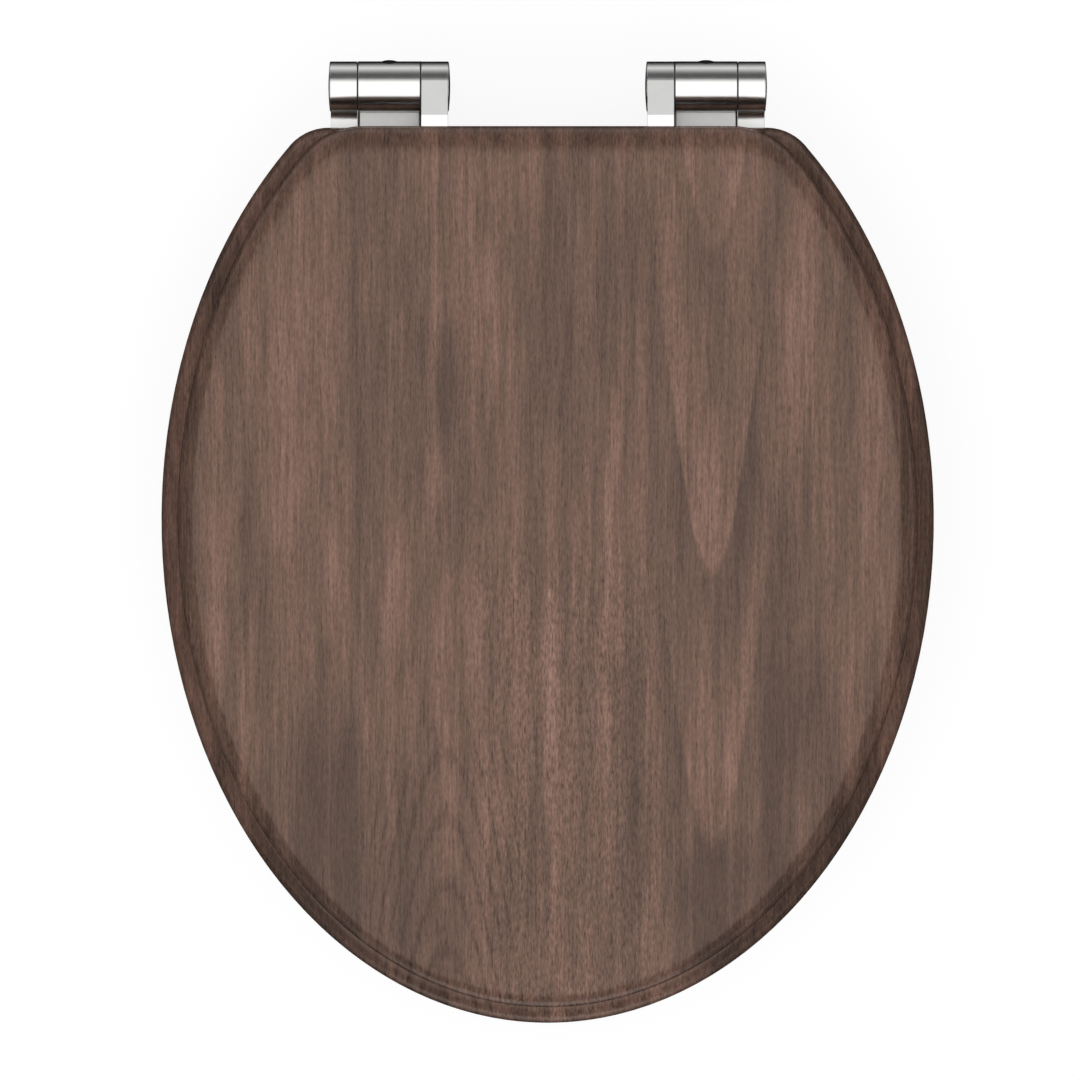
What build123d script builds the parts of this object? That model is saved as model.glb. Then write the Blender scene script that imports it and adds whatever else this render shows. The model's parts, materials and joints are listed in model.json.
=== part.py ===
from build123d import *
from math import cos, degrees, hypot, radians, sin, tan
import os

os.makedirs("parts", exist_ok=True)

# The boards seen from above: the hinge axis is y = 0, the front of the seat is at -y
stud_spacing = 155.0
seat_width = 378.2
seat_front = 458.4  # hinge axis to the front edge
seat_back = 20.1  # hinge axis to the straight back edge
back_width = 236.547  # where the sides would meet the back line
ring_corner = 25.0
lid_corner = 38.0
lid_inset = 8.5  # how much of the ring shows round the lid
opening_width = 222.0
front_rim = 74.4  # width of the ring at the front
opening_back = 106.0

# The boards in height: the bowl's top face is z = 0
ring_rest = 8.0  # underside of the ring above the bowl
ring_thick = 18.0
ring_rise = 12.5  # widest line of the edge up to the top face
ring_reach = 19.0  # width of the rounded border
lid_thick = 16.5
lid_rise = 11.0
lid_reach = 18.0
under_r = 5.0  # rounding below the widest line

# Hinge barrel
axis_z = 15.4
barrel_r = 12.25
centre_len = 30.1
knuckle_len = 13.05
washer_t = 0.6
end_play = 0.05  # each side of a washer
bearing_r = 7.9  # damper cartridge and plain pin
bush_wall = 0.9
fit_clear = 0.06  # round fits that turn or slide in
socket_deep = 7.2  # in the centre housing
bush_len = 9.4
bush_gap = 0.2
shaft_r = 3.2
shaft_flat = 2.4  # axis to each flat
cap_t = 0.3
cap_dome = 0.7
cap_step = 0.2  # cap rim inside the barrel's edge
spigot_r = 9.0
spigot_len = 1.4

# Hinge arms
arm_tilt = 12.0  # rise of the lid arm, degrees
arm_bend = 14.5  # hinge axis to where the lid arm turns level
lid_leaf_t = 4.0
ring_leaf_t = 4.5
arm_end = 84.0  # hinge axis to the tip of both arms
arm_fillet = 3.7
screw_rows = (34.0, 54.0, 74.0)
screw_r = 2.0
screw_head_r = 4.0
screw_head_h = 2.2
screw_len = 14.0
screw_tip = 3.0

# Foot, post and stud
gasket_t = 2.0
gasket_lip = 0.6  # how far it shows round the foot
foot_front = 30.0
foot_t = 4.0
foot_corner = 8.0
foot_round = 0.8  # along its top edges
flange_r = 11.9
flange_t = 2.0
post_r = 4.3
neck_r = 3.1
neck_room = 0.6  # above and below the latch
head_h = 4.0
stud_r = 4.0
thread_r = 3.75
bowl_t = 30.0  # thickness of the bowl at the fixing holes
thread_end = 62.0
nut_h = 12.0
nut_r = 8.5
wing_span = 40.0
wing_h = 9.0
wing_t = 4.0
wing_tilt = 20.0  # fall of the wings, degrees
cone_h = 8.0
cone_r = 13.0
cone_gap = 0.6  # stud shoulder to the cone washer

# Release button and latch
button_r = 5.1
button_proud = 0.7
button_dome = 1.2
button_wall = 0.9
button_rim = 0.15  # straight side of the button under its dome
button_travel = 1.8
latch_t = 1.8
latch_side = 1.35  # from the plate to the bearing socket
latch_wall = 1.1  # behind the hole
latch_nose = 4.2  # in front of the hole
slide_gap = 0.2
hole_gap = 0.3
wire_r = 0.22
coil_r = 3.1

# Buffers
buffer_r = 9.0
lid_buffer_r = 6.5
peg_r = 3.0
peg_len = 6.0
front_buffers = -44.0  # direction from the middle of the ring, degrees
back_buffers = 31.0
lid_buffers = -40.0

# Sizes that follow from the ones above
back_share = (1 - (back_width / seat_width) ** 2) ** 0.5
belly = (seat_back + back_share * seat_front) / (1 + back_share)  # hinge axis to the widest line
ring_a = seat_width / 2
ring_b = seat_front - belly
lid_a = ring_a - lid_inset
lid_b = ring_b - lid_inset
opening_front = seat_front - front_rim
hole_a = opening_width / 2
hole_b = (opening_front - opening_back) / 2
hole_y = -(opening_front + opening_back) / 2
ring_top = ring_rest + ring_thick
tilt = radians(arm_tilt)
lid_under = axis_z + (barrel_r + arm_bend * sin(tilt)) / cos(tilt)
seg_gap = washer_t + 2 * end_play
knuckle_in = centre_len / 2 + seg_gap
knuckle_out = knuckle_in + knuckle_len
bush_r = bearing_r + fit_clear + bush_wall
bearing_end = knuckle_in + bush_len - bush_gap
foot_z = gasket_t
latch_z = axis_z - latch_t / 2
latch_room = latch_t + 2 * slide_gap
post_top = axis_z + latch_t / 2 + neck_room + head_h
arc_r = neck_r + hole_gap
pass_r = post_r + slide_gap
rear_wall = button_travel + pass_r + latch_wall
latch_front = arc_r + latch_nose
latch_half = centre_len / 2 - socket_deep - latch_side
bore_end = rear_wall + slide_gap
cup_rim = bore_end + button_travel + slide_gap
cup_roof = barrel_r + button_proud - button_dome - button_rim


def oval(a, b, corner_r):
    """Ellipse about the belly line with a straight back edge and rounded back corners."""
    line_y = -seat_back
    low = radians(1)
    high = radians(89)
    for _ in range(60):
        t = (low + high) / 2
        size = hypot(cos(t) / a, sin(t) / b)
        nx = cos(t) / a / size
        ny = sin(t) / b / size
        if -belly + b * sin(t) + corner_r * (1 - ny) > line_y:
            high = t
        else:
            low = t
    px = a * cos(t)
    py = -belly + b * sin(t)
    cx = px - corner_r * nx
    cy = line_y - corner_r
    half = hypot(nx, ny + 1)
    mx = cx + corner_r * nx / half
    my = cy + corner_r * (ny + 1) / half
    turn = degrees(t)
    back = Line((-cx, line_y), (cx, line_y))
    right = ThreePointArc((cx, line_y), (mx, my), (px, py))
    front = EllipticalCenterArc((0, -belly), a, b, 180 - turn, arc_size=180 + 2 * turn)
    left = ThreePointArc((-px, py), (-mx, my), (-cx, line_y))
    return make_face([back, right, front, left])


def board(plan, under, thick, reach, rise):
    """A board whose top edges fall away in a wide, flat round and whose lower edges are rounded."""
    wall = 0.5
    squash = rise / (reach + wall)
    widest = under + thick - rise
    dome = extrude(plan, reach + wall)
    dome = fillet(dome.edges().group_by(Axis.Z)[-1], reach)
    base = extrude(plan, rise - thick)
    base = fillet(base.edges().group_by(Axis.Z)[0], under_r)
    return Pos(0, 0, widest) * (scale(dome, by=(1, 1, squash)) + base)


def mid_rim(angle, side):
    """A spot half way between the ring's outline and its opening."""
    x = side * (ring_a + hole_a) / 2 * cos(radians(angle))
    y = (hole_y - belly) / 2 + (ring_b + hole_b) / 2 * sin(radians(angle))
    return x, y


def bar(profile, x_mid, way, near, far):
    """A profile in y and z, run along x from near to far on one side of a hinge's middle."""
    start = min(x_mid + way * near, x_mid + way * far)
    return extrude(Plane.YZ.offset(start) * profile, far - near)


def disc(r):
    return Pos(0, axis_z) * Circle(r)


def upright(r, x, y, low, high):
    return Pos(x, y, low) * Cylinder(r, high - low, align=(Align.CENTER, Align.CENTER, Align.MIN))


def taper(low_r, high_r, x, y, low, high):
    cone = Cone(low_r, high_r, high - low, align=(Align.CENTER, Align.CENTER, Align.MIN))
    return Pos(x, y, low) * cone


def screw(x, y, face_z):
    """A countersunk wood screw driven up from face_z."""
    neck_z = face_z + screw_head_h
    tip_z = face_z + screw_len - screw_tip
    head = taper(screw_head_r, screw_r, x, y, face_z, neck_z)
    shank = upright(screw_r, x, y, neck_z, tip_z)
    tip = taper(screw_r, 0.3, x, y, tip_z, tip_z + screw_tip)
    slot = Pos(x, y, face_z) * (Box(4.4, 0.9, 2.4) + Box(0.9, 4.4, 2.4))
    return head + shank + tip - slot


def screw_room(x, y, face_z):
    """The countersunk hole for a screw, through an arm and into a board."""
    wide = screw_head_r + hole_gap
    thin = screw_r + hole_gap
    sink = taper(wide, thin, x, y, face_z, face_z + screw_head_h)
    return sink + upright(thin, x, y, face_z, face_z + screw_len + 1)


def buffer(x, y, low, high, r):
    """A rubber buffer with a peg pressed into the board above it."""
    pad = fillet(upright(r, x, y, low, high).edges().group_by(Axis.Z)[0], 1.5)
    return pad + upright(peg_r, x, y, high, high + peg_len)


def ring_arm_profile():
    top = ring_rest
    low = ring_rest - ring_leaf_t
    foot_y = (barrel_r**2 - (axis_z - low) ** 2) ** 0.5
    bend = arm_fillet * (1 - cos(radians(45)))
    wall = Line((-barrel_r, axis_z), (-barrel_r, top + arm_fillet))
    mid = (-barrel_r - bend, top + bend)
    turn = ThreePointArc(wall @ 1, mid, (-barrel_r - arm_fillet, top))
    leaf = Polyline(turn @ 1, (-arm_end, top), (-arm_end, low), (-foot_y, low))
    back = ThreePointArc(leaf @ 1, (barrel_r, axis_z), (0, axis_z + barrel_r))
    slant = barrel_r * sin(radians(45))
    nose = ThreePointArc(back @ 1, (-slant, axis_z + slant), wall @ 0)
    return make_face([wall, turn, leaf, back, nose])


def lid_arm_profile():
    low = lid_under - lid_leaf_t
    start = (barrel_r * sin(tilt), axis_z + barrel_r * cos(tilt))
    throat = radians(60)
    neck = (-barrel_r * sin(throat), axis_z + barrel_r * cos(throat))
    tip = [(-arm_end, lid_under), (-arm_end, low)]
    top = Polyline(start, (-arm_bend, lid_under), *tip, (-arm_bend - 1, low), neck)
    back = ThreePointArc(neck, (0, axis_z - barrel_r), start)
    return make_face([top, back])


def arm(profile, x_mid, way, keyed, leaf_low):
    """A knuckle with its arm, bored for the bush, the shaft and the end cap."""
    body = bar(profile, x_mid, way, knuckle_in, knuckle_out)
    tip = body.edges().filter_by(Axis.Z).group_by(Axis.Y)[0]
    body = fillet(tip, knuckle_len * 0.42)
    body -= bar(disc(bush_r), x_mid, way, knuckle_in, knuckle_in + bush_len)
    body -= bar(disc(spigot_r + fit_clear), x_mid, way, knuckle_out - spigot_len - 0.1, knuckle_out)
    if keyed:
        body -= bar(shaft_section(fit_clear), x_mid, way, knuckle_in, knuckle_out)
    for row in screw_rows:
        body -= screw_room(x_mid + way * (knuckle_in + knuckle_out) / 2, -row, leaf_low)
    return body


def shaft_section(gap):
    flat = Pos(0, axis_z) * Rectangle(2 * shaft_r + 2, 2 * (shaft_flat + gap))
    return disc(shaft_r + gap) & flat


def bush(x_mid, way):
    ring = disc(bush_r) - disc(bearing_r + fit_clear)
    return bar(ring, x_mid, way, knuckle_in, bearing_end)


def end_cap(x_mid, way):
    """A domed cap over the whole end of a knuckle, on a spigot."""
    r = barrel_r - cap_step
    edge = knuckle_out + cap_t
    crown = edge + cap_dome
    ball = (r**2 + cap_dome**2) / (2 * cap_dome)
    half = crown - ball + (ball**2 - r**2 / 4) ** 0.5
    base = Polyline((crown, 0), (knuckle_out - spigot_len, 0), (knuckle_out - spigot_len, spigot_r))
    step = Polyline(base @ 1, (knuckle_out, spigot_r), (knuckle_out, r), (edge, r))
    dome = ThreePointArc(step @ 1, (half, r / 2), (crown, 0))
    cap = revolve(make_face([base, step, dome]), Axis.X)
    if way < 0:
        cap = mirror(cap, Plane.YZ)
    return Pos(x_mid, 0, axis_z) * cap


def washer(x_mid, way):
    ring = disc(barrel_r - 0.5) - disc(bearing_r + hole_gap)
    near = centre_len / 2 + end_play
    return bar(ring, x_mid, way, near, near + washer_t)


def plain_pin(x_mid, way):
    return bar(disc(bearing_r), x_mid, way, centre_len / 2 - socket_deep, bearing_end)


def damper(x_mid, way):
    """The closed cartridge, fixed in the centre housing, with a bore for its shaft."""
    body = bar(disc(bearing_r), x_mid, way, centre_len / 2 - socket_deep, bearing_end)
    return body - bar(disc(shaft_r + fit_clear), x_mid, way, centre_len / 2 - socket_deep + 1.5, bearing_end)


def damper_shaft(x_mid, way):
    near = centre_len / 2 - socket_deep + 1.8
    inside = bar(disc(shaft_r), x_mid, way, near, bearing_end)
    return inside + bar(shaft_section(0), x_mid, way, bearing_end, knuckle_out - spigot_len - 0.3)


def foot_plan(x_mid, low, high, lip):
    """The foot's outline, as wide as the centre housing, with a round front."""
    wide = centre_len + 2 * lip
    long = foot_front + barrel_r + 2 * lip
    slab = Box(wide, long, high - low, align=(Align.CENTER, Align.MIN, Align.MIN))
    slab = Pos(x_mid, -foot_front - lip, low) * slab
    return fillet(slab.edges().filter_by(Axis.Z).group_by(Axis.Y)[0], foot_corner)


def housing(x_mid):
    """Centre barrel on its foot, hollow for the bearings, the post, the latch and the button."""
    block = Pos(0, (axis_z + foot_z) / 2) * Rectangle(2 * barrel_r, axis_z - foot_z)
    body = bar(disc(barrel_r) + block, x_mid, 1, -centre_len / 2, centre_len / 2)
    foot = foot_plan(x_mid, foot_z, foot_z + foot_t, 0)
    rim = foot.edges().group_by(Axis.Z)[-1].sort_by(Axis.Y)[:-1]
    body += fillet(rim, foot_round)
    for way in (1, -1):
        body -= bar(disc(bearing_r + fit_clear), x_mid, way, centre_len / 2 - socket_deep, centre_len / 2)
    body -= upright(pass_r, x_mid, 0, foot_z, post_top + 0.6)
    body -= upright(flange_r + hole_gap, x_mid, 0, foot_z, foot_z + flange_t)
    front = latch_front + button_travel + slide_gap
    wide = 2 * (latch_half + slide_gap)
    slot = Box(wide, front + bore_end, latch_room, align=(Align.CENTER, Align.MIN, Align.CENTER))
    body -= Pos(x_mid, -front, axis_z) * slot
    return body - along_y(button_r + fit_clear, x_mid, bore_end, barrel_r + 1)


def along_y(r, x, near, far):
    return extrude(Plane.XZ.offset(-near) * (Pos(x, axis_z) * Circle(r)), near - far)


def post(x_mid):
    """Flange, grooved post and threaded stud, turned in one piece."""
    neck_low = latch_z - neck_room
    neck_high = post_top - head_h
    body = upright(flange_r, x_mid, 0, foot_z, foot_z + flange_t)
    body += upright(post_r, x_mid, 0, foot_z + flange_t, neck_low)
    body += upright(neck_r, x_mid, 0, neck_low, neck_high)
    head = upright(post_r, x_mid, 0, neck_high, post_top)
    body += chamfer(head.edges().group_by(Axis.Z)[-1], 1.4)
    body += upright(stud_r, x_mid, 0, -bowl_t, foot_z)
    thread = upright(thread_r, x_mid, 0, -thread_end, -bowl_t)
    return body + chamfer(thread.edges().group_by(Axis.Z)[0], 1.0)


def gasket(x_mid):
    return foot_plan(x_mid, 0, gasket_t, gasket_lip) - upright(stud_r + 2, x_mid, 0, 0, gasket_t)


def cone_washer(x_mid):
    low = -bowl_t - cone_gap - cone_h
    body = taper(cone_r, cone_r * 0.55, x_mid, 0, low, low + cone_h)
    return body - upright(thread_r + hole_gap, x_mid, 0, low, low + cone_h)


def wing_nut(x_mid):
    """A tapered hub with a collar and two round wings that lean away from the bowl."""
    high = -bowl_t - cone_gap - cone_h
    low = high - nut_h
    reach = (wing_span - wing_h) / 2
    drop = reach * tan(radians(wing_tilt))
    outline = SlotCenterPoint((reach / 2, -drop / 2), (reach, -drop), wing_h)
    outline += mirror(outline, Plane.YZ)
    wings = extrude(Plane.XZ * (Pos(x_mid, high - nut_h * 0.55) * outline), wing_t / 2, both=True)
    rims = wings.edges().group_by(Axis.Y)
    wings = fillet(rims[0] + rims[-1], wing_t * 0.25)
    hub = taper(nut_r * 0.85, nut_r, x_mid, 0, low, high)
    collar = upright(nut_r * 1.2, x_mid, 0, high - nut_h * 0.2, high)
    body = hub + chamfer(collar.edges().group_by(Axis.Z)[0], nut_h * 0.06) + wings
    return body - upright(thread_r + fit_clear, x_mid, 0, low - wing_h, high)


def button(x_mid):
    """A domed cup with a tongue that pushes the latch."""
    ball = (button_r**2 + button_dome**2) / (2 * button_dome)
    skin = along_y(button_r, x_mid, cup_rim, barrel_r + button_proud)
    skin &= Pos(x_mid, barrel_r + button_proud - ball, axis_z) * Sphere(ball)
    skin -= along_y(button_r - button_wall, x_mid, cup_rim, cup_roof)
    tongue = Box(4.4, cup_roof - rear_wall, latch_t, align=(Align.CENTER, Align.MIN, Align.CENTER))
    return skin + Pos(x_mid, rear_wall, axis_z) * tongue


def latch(x_mid):
    """A plate round the post: its front arc sits under the post's head until the button is pressed."""
    plate = Pos(0, (rear_wall - latch_front) / 2) * Rectangle(2 * latch_half, rear_wall + latch_front)
    plate = fillet(plate.vertices(), 1.5)
    hole = Circle(arc_r) + Pos(0, button_travel) * Circle(pass_r)
    return Pos(x_mid, 0, latch_z) * extrude(plate - hole, latch_t)


def spring(x_mid):
    long = cup_roof - bore_end - 2 * wire_r - 0.1
    seat = (x_mid, bore_end + wire_r + 0.05, axis_z)
    path = Helix(long / 3, long, coil_r, center=seat, direction=(0, 1, 0))
    wire = Plane(origin=path @ 0, z_dir=path % 0) * Circle(wire_r)
    return sweep(wire, path=path, is_frenet=True)


lid_screw_z = lid_under - lid_leaf_t
ring_screw_z = ring_rest - ring_leaf_t
pieces = {}

hole = Pos(0, hole_y) * Ellipse(hole_a, hole_b)
ring = board(oval(ring_a, ring_b, ring_corner) - hole, ring_rest, ring_thick, ring_reach, ring_rise)
lid = board(oval(lid_a, lid_b, lid_corner), lid_under, lid_thick, lid_reach, lid_rise)

lid_screws = []
ring_screws = []
for hand, side in (("left", -1), ("right", 1)):
    for spot, angle in (("front_", front_buffers), ("back_", back_buffers)):
        x, y = mid_rim(angle, side)
        pieces["ring_buffer_" + spot + hand] = buffer(x, y, 0, ring_rest, buffer_r)
        ring -= upright(peg_r + fit_clear, x, y, ring_rest, ring_rest + peg_len + 0.5)
    x, y = mid_rim(lid_buffers, side)
    pieces["lid_buffer_" + hand] = buffer(x, y, ring_top, lid_under, lid_buffer_r)
    lid -= upright(peg_r + fit_clear, x, y, lid_under, lid_under + peg_len + 0.5)
    x_mid = side * stud_spacing / 2
    outer = side
    inner = -side
    damped = inner if side < 0 else outer
    plain = -damped
    pieces[hand + "_housing"] = housing(x_mid)
    pieces[hand + "_gasket"] = gasket(x_mid)
    pieces[hand + "_post"] = post(x_mid)
    pieces[hand + "_cone_washer"] = cone_washer(x_mid)
    pieces[hand + "_wing_nut"] = wing_nut(x_mid)
    pieces[hand + "_ring_arm"] = arm(ring_arm_profile(), x_mid, outer, damped == outer, ring_screw_z)
    pieces[hand + "_lid_arm"] = arm(lid_arm_profile(), x_mid, inner, damped == inner, lid_screw_z)
    pieces[hand + "_damper"] = damper(x_mid, damped)
    pieces[hand + "_damper_shaft"] = damper_shaft(x_mid, damped)
    pieces[hand + "_pivot_pin"] = plain_pin(x_mid, plain)
    for spot, way in (("outer", outer), ("inner", inner)):
        pieces[hand + "_" + spot + "_bush"] = bush(x_mid, way)
        pieces[hand + "_" + spot + "_cap"] = end_cap(x_mid, way)
        pieces[hand + "_" + spot + "_washer"] = washer(x_mid, way)
    pieces[hand + "_button"] = button(x_mid)
    pieces[hand + "_latch"] = latch(x_mid)
    pieces[hand + "_spring"] = spring(x_mid)
    reach = (knuckle_in + knuckle_out) / 2
    for row in screw_rows:
        lid_screws.append(screw(x_mid + inner * reach, -row, lid_screw_z))
        lid -= screw_room(x_mid + inner * reach, -row, lid_screw_z)
        ring_screws.append(screw(x_mid + outer * reach, -row, ring_screw_z))
        ring -= screw_room(x_mid + outer * reach, -row, ring_screw_z)

pieces["seat_ring"] = ring
pieces["lid"] = lid
pieces["lid_arm_screws"] = Compound(children=lid_screws)
pieces["ring_arm_screws"] = Compound(children=ring_screws)

for name, solid in pieces.items():
    export_step(solid, "parts/" + name + ".step")
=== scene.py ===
import json
import math

import bpy
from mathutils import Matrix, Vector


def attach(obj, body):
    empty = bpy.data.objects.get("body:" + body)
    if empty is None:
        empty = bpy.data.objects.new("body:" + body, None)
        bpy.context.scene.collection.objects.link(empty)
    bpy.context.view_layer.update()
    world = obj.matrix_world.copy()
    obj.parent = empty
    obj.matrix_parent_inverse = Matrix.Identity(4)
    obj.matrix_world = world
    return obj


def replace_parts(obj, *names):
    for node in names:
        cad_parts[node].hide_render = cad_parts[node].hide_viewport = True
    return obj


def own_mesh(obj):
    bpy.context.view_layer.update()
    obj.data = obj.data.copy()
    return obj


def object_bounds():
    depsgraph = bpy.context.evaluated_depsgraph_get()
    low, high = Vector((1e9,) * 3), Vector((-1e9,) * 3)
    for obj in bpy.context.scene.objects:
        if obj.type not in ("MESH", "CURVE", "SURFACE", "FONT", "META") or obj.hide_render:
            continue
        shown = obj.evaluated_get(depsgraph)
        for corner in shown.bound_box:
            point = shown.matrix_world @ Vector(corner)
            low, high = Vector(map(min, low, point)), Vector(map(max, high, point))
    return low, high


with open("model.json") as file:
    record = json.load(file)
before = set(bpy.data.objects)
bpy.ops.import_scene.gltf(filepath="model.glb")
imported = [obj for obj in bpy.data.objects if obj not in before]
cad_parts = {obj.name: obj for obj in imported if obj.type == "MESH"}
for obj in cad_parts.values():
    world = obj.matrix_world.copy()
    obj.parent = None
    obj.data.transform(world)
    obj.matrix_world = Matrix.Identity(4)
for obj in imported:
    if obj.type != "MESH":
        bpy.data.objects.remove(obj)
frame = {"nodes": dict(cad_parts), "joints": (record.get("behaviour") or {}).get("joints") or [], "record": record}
cadBox = [[float(c) for c in corner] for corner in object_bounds()]
print("frame loaded,", len(frame["nodes"]), "nodes")

# both hinges stand over the studs that hold the seat

mmPerMetre = 1000.0
studs = next(mount for mount in frame["record"]["mounts"] if mount["name"] == "bowl_studs")
ringHinge = next(joint for joint in frame["joints"] if joint["name"] == "ring_hinge")
hingeX = studs["dims"]["spacing_x_mm"] / 2 / mmPerMetre
hingeHeight = ringHinge["pos_m"][2]

bpy.context.scene.view_settings.view_transform = "Standard"

# camera, straight down on the closed lid

shot = {
    "frameWide": 0.5283, "centre": (-0.00375, -0.222),  # what the picture covers, in metres
    "edgeHeight": 0.0195, "away": 6.0, "sensor": 36.0,  # its width is true at edgeHeight
}


def makeCamera():
    data = bpy.data.cameras.new("downCamera")
    data.sensor_width = shot["sensor"]
    data.lens = shot["sensor"] * shot["away"] / shot["frameWide"]
    camera = bpy.data.objects.new("downCamera", data)
    camera.location = (*shot["centre"], shot["edgeHeight"] + shot["away"])
    bpy.context.collection.objects.link(camera)
    bpy.context.scene.camera = camera


makeCamera()
print("camera set")

# small helpers for node trees and meshes


def put(tree, socket, value):
    if isinstance(value, bpy.types.NodeSocket):
        tree.links.new(value, socket)
    else:
        socket.default_value = value


def addNode(tree, kind, settings=None, **values):
    node = tree.nodes.new(kind)
    for key, value in (settings or {}).items():
        setattr(node, key, value)
    for key, value in values.items():
        put(tree, node.inputs[key], value)
    return node


def calc(tree, operation, first, second=None, third=None):
    node = addNode(tree, "ShaderNodeMath", {"operation": operation})
    for socket, value in zip(node.inputs, (first, second, third)):
        if value is not None:
            put(tree, socket, value)
    return node.outputs[0]


def spread(tree, value, low, high, newLow, newHigh, smooth=False):
    node = addNode(tree, "ShaderNodeMapRange", {"interpolation_type": "SMOOTHSTEP" if smooth else "LINEAR"})
    names = ("Value", "From Min", "From Max", "To Min", "To Max")
    for name, number in zip(names, (value, low, high, newLow, newHigh)):
        put(tree, node.inputs[name], number)
    return node.outputs[0]


def scaleVector(tree, vector, scale):
    node = addNode(tree, "ShaderNodeVectorMath", {"operation": "SCALE"}, Vector=vector, Scale=scale)
    return node.outputs[0]


def objectPlace(tree):
    return addNode(tree, "ShaderNodeTexCoord").outputs["Object"]


def splitAxes(tree, vector):
    return addNode(tree, "ShaderNodeSeparateXYZ", Vector=vector).outputs


def ramp(tree, value, stops):
    node = tree.nodes.new("ShaderNodeValToRGB")
    band = node.color_ramp
    while len(band.elements) < len(stops):
        band.elements.new(0.5)
    for element, (place, colour) in zip(band.elements, stops):
        element.position = place
        element.color = (*colour, 1.0)
    put(tree, node.inputs[0], value)
    return node.outputs[0]


def newGroup(name, inputs=()):
    group = bpy.data.node_groups.new(name, "ShaderNodeTree")
    outputs = [("Color", "NodeSocketColor"), ("Roughness", "NodeSocketFloat"), ("Height", "NodeSocketFloat")]
    for label, kind in inputs:
        group.interface.new_socket(label, in_out="INPUT", socket_type=kind)
    for label, kind in outputs:
        group.interface.new_socket(label, in_out="OUTPUT", socket_type=kind)
    return group, group.nodes.new("NodeGroupOutput")


def newMaterial(name):
    material = bpy.data.materials.new(name)
    material.use_nodes = True
    tree = material.node_tree
    return material, tree, tree.nodes["Principled BSDF"]


def newPiece(name, points, faces, material):
    mesh = bpy.data.meshes.new(name)
    mesh.from_pydata(points, [], faces)
    mesh.materials.append(material)
    piece = bpy.data.objects.new(name, mesh)
    bpy.context.collection.objects.link(piece)
    return piece


# walnut film: the grain runs front to back, places and lengths are in mm

walnut = {
    "valley": {"x": 81.0, "bend": 19.5, "slope": 10.0, "wide": (12.0, 36.0)},  # tongues, tips to the front
    "ringSpan": 500.0,
    "rings": [  # place along the middle of the tongues, and how much lighter
        (-500, 0.0), (-430, -0.14), (-376, -0.24), (-366, 0.2), (-340, 0.14), (-300, -0.05),
        (-266, -0.2), (-242, -0.22), (-234, 0.34), (-212, 0.28), (-160, 0.1), (-112, -0.02),
        (-86, -0.12), (-78, 0.18), (-40, 0.06), (0, 0.0),
    ],
    "arch": {  # dark lines over the front left
        "x": -50.0, "bend": 26.0, "slope": 8.0, "tip": -386.0, "step": 32.0, "line": 0.24, "jitter": 7.0,
        "wide": (24.0, 48.0), "start": (-290.0, -345.0), "dark": 0.3,
    },
    "streaks": [  # x, y, half width, half length, and how much lighter
        (1, -301, 6, 62, 0.28), (28, -262, 5, 115, 0.2), (-30, -114, 8, 52, 0.24),
        (-136, -129, 17, 55, 0.12), (-106, -243, 8, 34, 0.22), (-75, -248, 8, 34, 0.22),
        (-131, -203, 11, 32, 0.12), (-48, -350, 5, 48, 0.22), (114, -134, 15, 62, 0.15),
        (-38, -271, 9, 38, 0.14), (-16, -281, 8, 42, 0.14), (-50, -149, 7, 38, -0.34),
        (-110, -388, 38, 92, -0.46), (-48, -217, 9, 22, -0.17), (-23, -394, 15, 32, -0.16),
        (45, -369, 7, 44, -0.24), (130, -342, 26, 74, -0.38), (92, -402, 34, 42, -0.34),
        (-87, -154, 17, 48, -0.1), (11, -144, 15, 44, -0.1), (-62, -378, 62, 74, -0.1),
    ],
    "streakFade": (1.3, 0.1),  # squared distance from a streak's middle where it starts and is full
    "noise": {  # waves to a mm across, along and in depth, then detail and roughness
        "sway": ((0.009, 0.0026, 0.01), 2.0, 0.5), "ripple": ((0.06, 0.014, 0.02), 3.0, 0.5),
        "broad": ((0.05, 0.0035, 0.02), 2.0, 0.5), "middle": ((0.13, 0.006, 0.03), 2.0, 0.5),
        "narrow": ((0.38, 0.012, 0.06), 2.0, 0.5), "patch": ((0.085, 0.009, 0.03), 3.0, 0.6),
        "fibre": ((1.0, 0.035, 0.3), 3.0, 0.65), "fleck": ((1.3, 0.3, 0.3), 2.0, 0.6),
        "pore": ((1.0, 0.11, 0.3), 1.5, 0.5),
    },
    "sway": 7.0, "ripple": 3.2,  # how far the grain wanders
    "patchStep": (0.36, 0.64, 0.3, 0.7),
    "share": {"middle": 0.28, "broad": 0.3, "narrow": 0.2, "patch": 0.22},
    "contrast": 3.1, "level": 0.48,
    "fibreShade": (0.68, 1.32), "fleckShade": (-0.34, 0.34), "shadeSpan": (0.25, 0.75),
    "flecked": {"x": 12.0, "wide": (24.0, 60.0), "start": (-190.0, -270.0), "least": 0.95, "more": 0.75},
    "poreSpan": (0.56, 0.68), "poreDark": 0.2, "poreRough": 0.1, "fibreHeight": 0.3,
    "roughness": (0.13, 0.18), "roughSpan": (0.3, 0.7), "bump": 0.05, "bumpDepth": 0.0002,
    "specular": 0.49, "sheen": (1.0, 0.74, 0.62, 1.0),
    "tones": [
        (0.0, (0.101, 0.0635, 0.0495)), (0.35, (0.156, 0.094, 0.071)),
        (0.62, (0.215, 0.1225, 0.093)), (1.0, (0.312, 0.177, 0.1355)),
    ],
}


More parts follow.
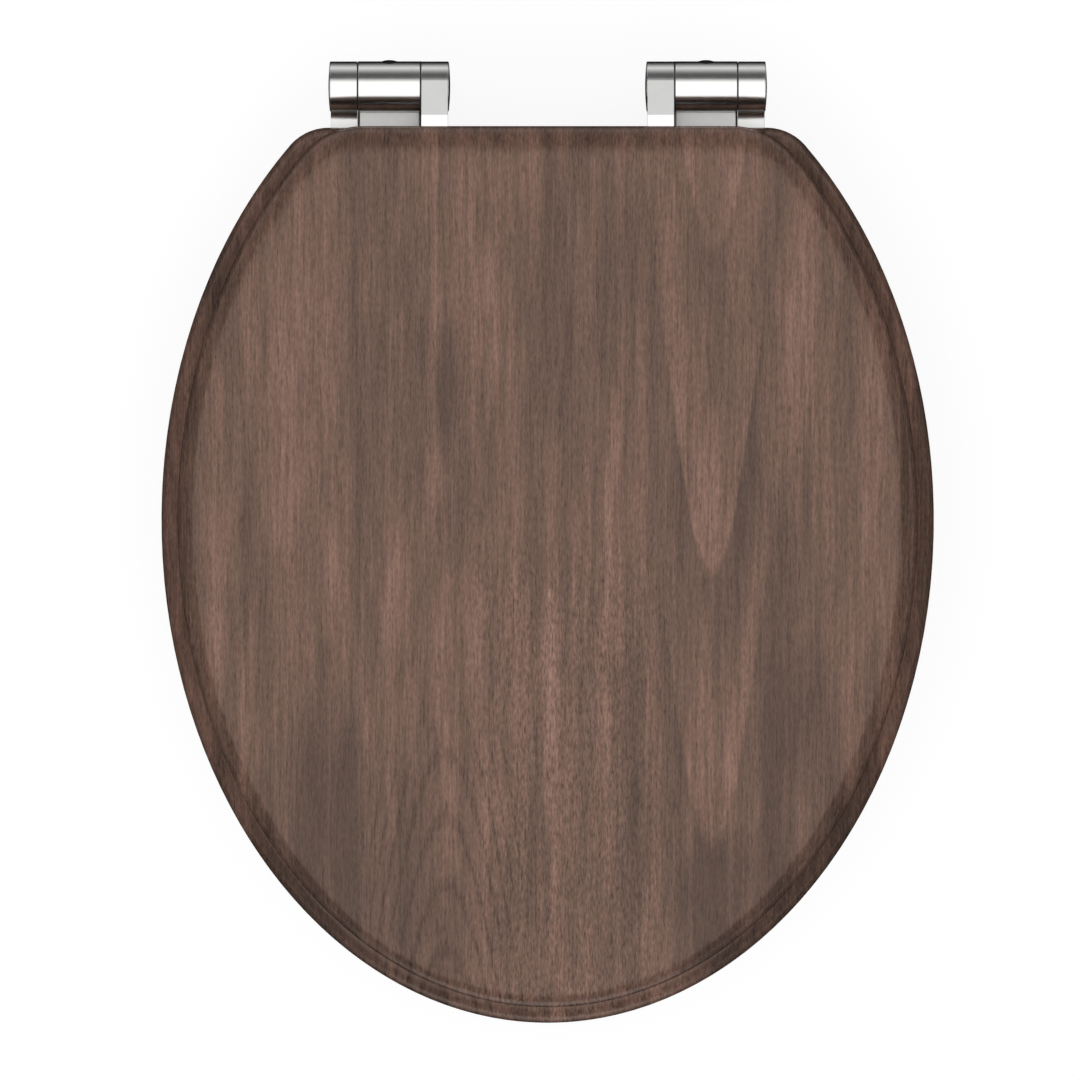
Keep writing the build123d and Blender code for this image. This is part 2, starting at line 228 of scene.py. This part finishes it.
def walnutFigure():
    group, sink = newGroup("walnutFigure")
    across, along, up = splitAxes(group, scaleVector(group, objectPlace(group), mmPerMetre))

    def wave(name, side):
        scales, detail, rough = walnut["noise"][name]
        axes = [calc(group, "MULTIPLY", axis, scale) for axis, scale in zip((side, along, up), scales)]
        place = addNode(group, "ShaderNodeCombineXYZ", X=axes[0], Y=axes[1], Z=axes[2]).outputs[0]
        looks = {"Scale": 1.0, "Detail": detail, "Roughness": rough}
        return addNode(group, "ShaderNodeTexNoise", Vector=place, **looks).outputs[0]

    bent = across
    for name in ("sway", "ripple"):
        off = calc(group, "SUBTRACT", wave(name, across), 0.5)
        bent = calc(group, "MULTIPLY_ADD", off, walnut[name], bent)

    def offAxis(spot):
        return calc(group, "SUBTRACT", bent, spot["x"])

    def within(spot):  # 1 near a spot's middle line, falling to 0 beside it
        aside = calc(group, "ABSOLUTE", offAxis(spot))
        return spread(group, aside, *spot["wide"], 1.0, 0.0, smooth=True)

    def bow(spot):  # how far a growth line has bent away from its tip
        aside = offAxis(spot)
        root = calc(group, "SQRT", calc(group, "MULTIPLY_ADD", aside, aside, spot["bend"] ** 2))
        return calc(group, "MULTIPLY", calc(group, "SUBTRACT", root, spot["bend"]), spot["slope"])

    # broad tone of the figure
    bentNames = ("broad", "middle", "narrow", "patch", "fibre", "fleck", "pore")
    waves = {name: wave(name, bent) for name in bentNames}
    waves["patch"] = spread(group, waves["patch"], *walnut["patchStep"], smooth=True)
    tone = 0.0
    for name, share in walnut["share"].items():
        tone = calc(group, "MULTIPLY_ADD", waves[name], share, tone)
    tone = calc(group, "SUBTRACT", tone, 0.5)
    tone = calc(group, "MULTIPLY_ADD", tone, walnut["contrast"], walnut["level"])

    # tongues and streaks
    valley, span = walnut["valley"], walnut["ringSpan"]
    ringPlace = spread(group, calc(group, "SUBTRACT", along, bow(valley)), -span, 0.0, 0.0, 1.0)
    ringTone = ramp(group, ringPlace, [(1 + y / span, (0.5 + gain,) * 3) for y, gain in walnut["rings"]])
    tone = calc(group, "MULTIPLY_ADD", calc(group, "SUBTRACT", ringTone, 0.5), within(valley), tone)
    for x, y, halfWide, halfLong, gain in walnut["streaks"]:
        aside = calc(group, "DIVIDE", calc(group, "SUBTRACT", bent, x), halfWide)
        ahead = calc(group, "DIVIDE", calc(group, "SUBTRACT", along, y), halfLong)
        away = calc(group, "MULTIPLY_ADD", aside, aside, calc(group, "MULTIPLY", ahead, ahead))
        tone = calc(group, "ADD", tone, spread(group, away, *walnut["streakFade"], 0.0, gain, smooth=True))
    colour = ramp(group, tone, walnut["tones"])

    # arched lines
    arch = walnut["arch"]
    archPlace = calc(group, "ADD", calc(group, "SUBTRACT", along, arch["tip"]), bow(arch))
    archPlace = calc(group, "MULTIPLY_ADD", waves["narrow"], arch["jitter"], archPlace)
    archLine = calc(group, "PINGPONG", calc(group, "DIVIDE", archPlace, arch["step"]), 0.5)
    archLine = spread(group, archLine, 0.0, arch["line"], 1.0, 0.0, smooth=True)
    archLine = calc(group, "MULTIPLY", archLine, within(arch))
    archShare = spread(group, along, *arch["start"], 0.0, arch["dark"], smooth=True)
    archLine = calc(group, "MULTIPLY", archLine, archShare)

    # fibres, flecks and pores
    pores = spread(group, waves["pore"], *walnut["poreSpan"], 0.0, 1.0, smooth=True)
    spot = walnut["flecked"]  # flecks stand out most along the front of the middle
    fleckStart = spread(group, along, *spot["start"], 0.0, 1.0, smooth=True)
    flecked = calc(group, "MULTIPLY", within(spot), fleckStart)
    fleckGain = calc(group, "MULTIPLY_ADD", flecked, spot["more"], spot["least"])
    fleck = spread(group, waves["fleck"], *walnut["shadeSpan"], *walnut["fleckShade"])
    shade = spread(group, waves["fibre"], *walnut["shadeSpan"], *walnut["fibreShade"])
    shade = calc(group, "MULTIPLY_ADD", fleck, fleckGain, shade)
    shade = calc(group, "SUBTRACT", shade, calc(group, "MULTIPLY", pores, walnut["poreDark"]))
    shade = calc(group, "SUBTRACT", shade, archLine)
    rough = spread(group, waves["fibre"], *walnut["roughSpan"], *walnut["roughness"])
    height = calc(group, "MULTIPLY", waves["fibre"], walnut["fibreHeight"])
    put(group, sink.inputs["Color"], scaleVector(group, colour, shade))
    put(group, sink.inputs["Roughness"], calc(group, "MULTIPLY_ADD", pores, walnut["poreRough"], rough))
    put(group, sink.inputs["Height"], calc(group, "SUBTRACT", height, pores))
    return group


def makeWalnut():
    material, tree, shader = newMaterial("walnutFilm")
    figure = addNode(tree, "ShaderNodeGroup", {"node_tree": walnutFigure()}).outputs
    put(tree, shader.inputs["Base Color"], figure["Color"])
    put(tree, shader.inputs["Roughness"], figure["Roughness"])
    shader.inputs["Specular IOR Level"].default_value = walnut["specular"]
    shader.inputs["Specular Tint"].default_value = walnut["sheen"]
    depth = {"Strength": walnut["bump"], "Distance": walnut["bumpDepth"]}
    bump = addNode(tree, "ShaderNodeBump", Height=figure["Height"], **depth)
    put(tree, shader.inputs["Normal"], bump.outputs[0])
    return material


# metals, rubbers and plastics share one mottle

mottle = {
    "cloudScale": 90.0, "cloudDetail": 3.0, "speckDetail": 2.0, "share": 0.5,
    "toneSpan": (0.35, 0.65), "roughSpan": (0.3, 0.7),
    "inputs": [
        ("Light", "NodeSocketColor"), ("Dark", "NodeSocketColor"), ("Grain", "NodeSocketFloat"),
        ("Smooth", "NodeSocketFloat"), ("Rough", "NodeSocketFloat"),
    ],
}


def mottleGroup():
    group, sink = newGroup("fineMottle", mottle["inputs"])
    source = group.nodes.new("NodeGroupInput").outputs
    where = objectPlace(group)
    fine = {"Scale": source["Grain"], "Detail": mottle["speckDetail"]}
    coarse = {"Scale": mottle["cloudScale"], "Detail": mottle["cloudDetail"]}
    cloud = addNode(group, "ShaderNodeTexNoise", Vector=where, **coarse).outputs[0]
    speck = addNode(group, "ShaderNodeTexNoise", Vector=where, **fine).outputs[0]
    both = calc(group, "MULTIPLY", cloud, mottle["share"])
    both = calc(group, "MULTIPLY_ADD", speck, 1 - mottle["share"], both)
    mix = addNode(group, "ShaderNodeMix", {"data_type": "RGBA"})
    put(group, mix.inputs[0], spread(group, both, *mottle["toneSpan"], 0.0, 1.0))
    put(group, mix.inputs[6], source["Dark"])  # the two colours of a mix node are its inputs 6 and 7
    put(group, mix.inputs[7], source["Light"])
    rough = spread(group, both, *mottle["roughSpan"], source["Smooth"], source["Rough"])
    put(group, sink.inputs["Color"], mix.outputs[2])
    put(group, sink.inputs["Roughness"], rough)
    put(group, sink.inputs["Height"], speck)
    return group


finishes = {
    "chrome": {
        "light": (0.86, 0.855, 0.84), "dark": (0.82, 0.815, 0.8),
        "grain": 400.0, "smooth": 0.19, "rough": 0.22, "metal": 1.0,
        # the last three on the next line: a rougher face low down, with painted shade darkening its colour
        "softEdge": 0.0004, "roughAndShadedBelow": 0.009, "castRough": 0.42, "paintedShadeTone": 0.86,
    },
    "capChrome": {
        "light": (0.82, 0.815, 0.8), "dark": (0.78, 0.775, 0.76),
        "grain": 400.0, "smooth": 0.08, "rough": 0.12, "metal": 1.0, "softEdge": 0.0005,
    },
    "steel": {
        "light": (0.6, 0.6, 0.6), "dark": (0.5, 0.5, 0.51),
        "grain": 2500.0, "smooth": 0.24, "rough": 0.36, "metal": 1.0, "bump": 0.05,
    },
    "screw_zinc": {
        "light": (0.66, 0.67, 0.68), "dark": (0.5, 0.51, 0.54),
        "grain": 1800.0, "smooth": 0.26, "rough": 0.4, "metal": 1.0, "bump": 0.05,
    },
    "buffer_rubber": {
        "light": (0.095, 0.09, 0.086), "dark": (0.06, 0.057, 0.055),
        "grain": 1500.0, "smooth": 0.55, "rough": 0.75, "metal": 0.0, "bump": 0.12,
    },
    "gasket_rubber": {
        "light": (0.034, 0.034, 0.034), "dark": (0.018, 0.018, 0.018),
        "grain": 1500.0, "smooth": 0.55, "rough": 0.75, "metal": 0.0, "bump": 0.12,
    },
    "nylon": {
        "light": (0.72, 0.71, 0.67), "dark": (0.63, 0.62, 0.585),
        "grain": 900.0, "smooth": 0.36, "rough": 0.5, "metal": 0.0, "bump": 0.05,
    },
    "buttonBlack": {
        "light": (0.012, 0.012, 0.012), "dark": (0.008, 0.008, 0.008),
        "grain": 900.0, "smooth": 0.3, "rough": 0.4, "metal": 0.0, "shine": 0.12,
    },
    "black_plastic": {
        "light": (0.024, 0.024, 0.026), "dark": (0.013, 0.013, 0.014),
        "grain": 900.0, "smooth": 0.4, "rough": 0.55, "metal": 0.0, "bump": 0.05,
    },
}
finishes["armChrome"] = {**finishes["chrome"], "castRough": 0.34, "paintedShadeTone": 0.93}  # smoother, with less painted shade than the foot
ownLooks = {"_cap": "capChrome", "_ring_arm": "armChrome", "_button": "buttonBlack"}  # by a name's ending
finishDetail = {"shine": 0.5, "bumpDepth": 0.0003, "roughAndShadedFade": 0.0005, "edgeSamples": 6}


def makeFinish(name, mottleTree):
    look = finishes[name]
    material, tree, shader = newMaterial(name + "Finish")
    values = {"Light": (*look["light"], 1.0), "Dark": (*look["dark"], 1.0)}
    values.update(Grain=look["grain"], Smooth=look["smooth"], Rough=look["rough"])
    surface = addNode(tree, "ShaderNodeGroup", {"node_tree": mottleTree}, **values).outputs
    colour, rough = surface["Color"], surface["Roughness"]
    if "roughAndShadedBelow" in look:  # the low foot and ring arms get a rougher face, and painted shade darkens their colour there
        height = splitAxes(tree, objectPlace(tree))["Z"]
        fade = (look["roughAndShadedBelow"], look["roughAndShadedBelow"] - finishDetail["roughAndShadedFade"])
        rough = calc(tree, "MAXIMUM", rough, spread(tree, height, *fade, 0.0, look["castRough"]))
        # painted shade: the colour is darkened below the height, where the lid and barrel shade the low chrome
        colour = scaleVector(tree, colour, spread(tree, height, *fade, 1.0, look["paintedShadeTone"]))
    put(tree, shader.inputs["Base Color"], colour)
    put(tree, shader.inputs["Roughness"], rough)
    shader.inputs["Metallic"].default_value = look["metal"]
    shader.inputs["Specular IOR Level"].default_value = look.get("shine", finishDetail["shine"])
    if "softEdge" in look:  # cast edges catch the light as small rounds
        samples = {"samples": finishDetail["edgeSamples"]}
        edge = addNode(tree, "ShaderNodeBevel", samples, Radius=look["softEdge"])
        put(tree, shader.inputs["Normal"], edge.outputs[0])
    if "bump" in look:
        depth = {"Strength": look["bump"], "Distance": finishDetail["bumpDepth"]}
        bump = addNode(tree, "ShaderNodeBump", Height=surface["Height"], **depth)
        put(tree, shader.inputs["Normal"], bump.outputs[0])
    return material


def dressNodes():
    mottleTree = mottleGroup()
    made = {name: makeFinish(name, mottleTree) for name in finishes}
    made["walnut"] = makeWalnut()
    for part in frame["record"]["subparts"]:
        node = part["node"]
        own = [look for ending, look in ownLooks.items() if node.endswith(ending)]
        finish = own[0] if own else part["material_slot"]
        slots = frame["nodes"][node].data.materials
        slots.clear()
        slots.append(made[finish])
    return made


materials = dressNodes()

# rolled thread on the bare end of each stud, below the wing nut

studThread = {
    "low": -0.0611, "high": -0.0509, "pitch": 0.00125, "root": 0.0037, "crest": 0.004,
    "steps": 36, "flank": 0.42, "flat": 0.1,  # half the ridge's foot in pitches, and its top's share of that
}


def makeThread(hand, side):
    low, pitch, steps = studThread["low"], studThread["pitch"], studThread["steps"]
    root = studThread["root"]
    count = int((studThread["high"] - low) / pitch * steps)
    lift = studThread["flank"] * pitch
    flat = studThread["flat"] * lift
    points, faces = [], []
    for step in range(count + 1):
        angle = 2 * math.pi * step / steps
        z = low + pitch * step / steps
        fade = min(1.0, step / steps, (count - step) / steps)  # the ridge runs out at both ends
        crest = root + (studThread["crest"] - root) * fade
        for r, rise in ((root, -lift), (crest, -flat), (crest, flat), (root, lift)):
            points.append((side * hingeX + r * math.cos(angle), r * math.sin(angle), z + rise))
        if step:
            first = 4 * (step - 1)
            faces += [(first + k, first + 4 + k, first + 5 + k, first + 1 + k) for k in range(3)]
            faces.append((first + 3, first + 7, first + 4, first))
    faces += [(3, 2, 1, 0), tuple(range(4 * count, 4 * count + 4))]
    thread = newPiece(hand + "_stud_thread", points, faces, materials["steel"])
    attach(thread, "base")


makeThread("left", -1)
makeThread("right", 1)
print("stud threads made")

# return spring behind each release button; the real one shortens as the button goes in, this coil keeps one length

buttonSpring = {
    "near": 0.00787, "far": 0.01133, "seat": 0.0076, "coil": 0.0031, "wire": 0.00022,
    "turns": 3, "steps": 32, "sides": 10, "keep": 0.54,
}


def makeSpring(hand, side):
    near, coil, wire = buttonSpring["near"], buttonSpring["coil"], buttonSpring["wire"]
    sides = buttonSpring["sides"]
    count = buttonSpring["turns"] * buttonSpring["steps"]
    points, faces = [], []
    for step in range(count + 1):
        angle = 2 * math.pi * step / buttonSpring["steps"]
        y = near + (buttonSpring["far"] - near) * step / count
        for k in range(sides):
            turn = 2 * math.pi * k / sides
            r = coil + wire * math.cos(turn)
            x = side * hingeX + r * math.cos(angle)
            points.append((x, y + wire * math.sin(turn), hingeHeight + r * math.sin(angle)))
        if step:
            first = sides * (step - 1)
            for k in range(sides):
                after = (k + 1) % sides
                faces.append((first + k, first + after, first + sides + after, first + sides + k))
    faces += [tuple(range(sides))[::-1], tuple(range(sides * count, sides * (count + 1)))]
    spring = newPiece(hand + "_return_spring", points, faces, materials["steel"])
    spring.data.shade_smooth()
    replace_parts(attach(spring, "base"), hand + "_spring")
    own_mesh(spring)


makeSpring("left", -1)
makeSpring("right", 1)
print("return springs made")

# stage: a pale floor, a card with painted shadow seen in reflections, and a soft overhead light


def stageSlab(name, near, far, height, material):
    flat = [near, (far[0], near[1]), far, (near[0], far[1])]
    obj = newPiece(name, [(x, y, height) for x, y in flat], [tuple(range(len(flat)))], material)
    return obj


dullRough = 0.9


def makeDull(shader):
    shader.inputs["Roughness"].default_value = dullRough
    shader.inputs["Specular IOR Level"].default_value = 0.0


paleFloor = {"half": 8.0, "below": 0.001, "tone": 0.2, "mottle": 0.005, "cloud": 3.0, "lift": 0.885}


def makeFloor():
    material, tree, shader = newMaterial("paleFloor")
    tone, mottled = paleFloor["tone"], paleFloor["mottle"]
    cloud = addNode(tree, "ShaderNodeTexNoise", Vector=objectPlace(tree), Scale=paleFloor["cloud"])
    stops = [(0.3, (tone - mottled,) * 3), (0.7, (tone + mottled,) * 3)]
    put(tree, shader.inputs["Base Color"], ramp(tree, cloud.outputs[0], stops))
    makeDull(shader)
    rays = addNode(tree, "ShaderNodeLightPath").outputs
    seen = calc(tree, "MAXIMUM", rays["Is Glossy Ray"], rays["Is Transmission Ray"])
    seen = calc(tree, "MAXIMUM", rays["Is Camera Ray"], seen)
    shader.inputs["Emission Color"].default_value = (1.0, 1.0, 1.0, 1.0)
    put(tree, shader.inputs["Emission Strength"], calc(tree, "MULTIPLY", seen, paleFloor["lift"]))
    back = addNode(tree, "ShaderNodeNewGeometry").outputs["Backfacing"]
    put(tree, shader.inputs["Alpha"], calc(tree, "SUBTRACT", 1.0, back))  # clear from below
    half = paleFloor["half"]
    stageSlab("paleFloor", (-half, -half), (half, half), cadBox[0][2] - paleFloor["below"], material)


shadowReflectCard = {  # painted shadow, seen only in reflections: dark near the seat, paler behind it, with a clear gap in front of its middle
    "side": 1.6, "front": -1.2, "back": 0.9, "below": 0.0005, "behind": (0.07, 0.3), "ahead": (-0.55, -0.7),
    "gapX": -0.03, "gapWide": (0.16, 0.36), "tones": [(0.06, (0.012, 0.012, 0.012)), (1.0, (0.8, 0.8, 0.8))],
}


def makeCard():
    material, tree, shader = newMaterial("shadowReflectCard")
    axes = splitAxes(tree, objectPlace(tree))
    behind = spread(tree, axes["Y"], *shadowReflectCard["behind"], 0.0, 1.0)
    ahead = spread(tree, axes["Y"], *shadowReflectCard["ahead"], 0.0, 1.0)
    aside = calc(tree, "ABSOLUTE", calc(tree, "SUBTRACT", axes["X"], shadowReflectCard["gapX"]))
    middle = spread(tree, aside, *shadowReflectCard["gapWide"], 1.0, 0.0, smooth=True)
    # painted shadow: the card's colour is dark under and around the seat
    put(tree, shader.inputs["Base Color"], ramp(tree, behind, shadowReflectCard["tones"]))
    put(tree, shader.inputs["Alpha"], calc(tree, "SUBTRACT", 1.0, calc(tree, "MULTIPLY", ahead, middle)))
    makeDull(shader)
    near, far = (-shadowReflectCard["side"], shadowReflectCard["front"]), (shadowReflectCard["side"], shadowReflectCard["back"])
    card = stageSlab("shadowReflectCard", near, far, cadBox[0][2] - shadowReflectCard["below"], material)
    card.visible_camera = card.visible_diffuse = card.visible_shadow = False


skyLight = {  # the overhead light's edges are slopes: sideways, to the back and to the front, by height
    "overhead": 1.3, "shift": -0.12, "side": (0.9, 1.1), "back": (0.25, 0.785), "front": (1.3, 2.3),
    "dome": 0.09, "horizon": 0.65, "lowHorizon": 0.1, "paleSpan": (0.2, 0.9), "rim": (0.0, 0.6),
    "least": 0.001,  # keeps the slopes finite below the horizon
}


def makeWorld():
    world = bpy.data.worlds.new("studioWorld")
    bpy.context.scene.world = world
    world.use_nodes = True
    tree = world.node_tree
    x, y, z = splitAxes(tree, addNode(tree, "ShaderNodeTexCoord").outputs["Generated"])
    height = calc(tree, "MAXIMUM", z, skyLight["least"])
    aside = calc(tree, "SUBTRACT", calc(tree, "DIVIDE", x, height), skyLight["shift"])
    aside = calc(tree, "ABSOLUTE", aside)
    behind = calc(tree, "DIVIDE", y, height)
    slopes = {"side": aside, "back": behind, "front": calc(tree, "MULTIPLY", behind, -1.0)}
    inside = 1.0
    for edge, slope in slopes.items():
        share = spread(tree, slope, *skyLight[edge], 1.0, 0.0, smooth=True)
        inside = calc(tree, "MULTIPLY", inside, share)
    pale = spread(tree, y, *skyLight["paleSpan"], skyLight["lowHorizon"], skyLight["horizon"])
    low = spread(tree, z, *skyLight["rim"], 1.0, 0.0, smooth=True)
    level = spread(tree, low, 0.0, 1.0, skyLight["dome"], pale)
    level = spread(tree, inside, 0.0, 1.0, level, skyLight["overhead"])
    rays = addNode(tree, "ShaderNodeLightPath").outputs
    seen = calc(tree, "MAXIMUM", rays["Is Camera Ray"], rays["Is Transmission Ray"])
    level = spread(tree, seen, 0.0, 1.0, level, 1.0)  # white beyond the floor
    background = tree.nodes["Background"]
    background.inputs["Color"].default_value = (1.0, 1.0, 1.0, 1.0)
    put(tree, background.inputs["Strength"], level)


makeFloor()
makeCard()
makeWorld()
print("stage ready")
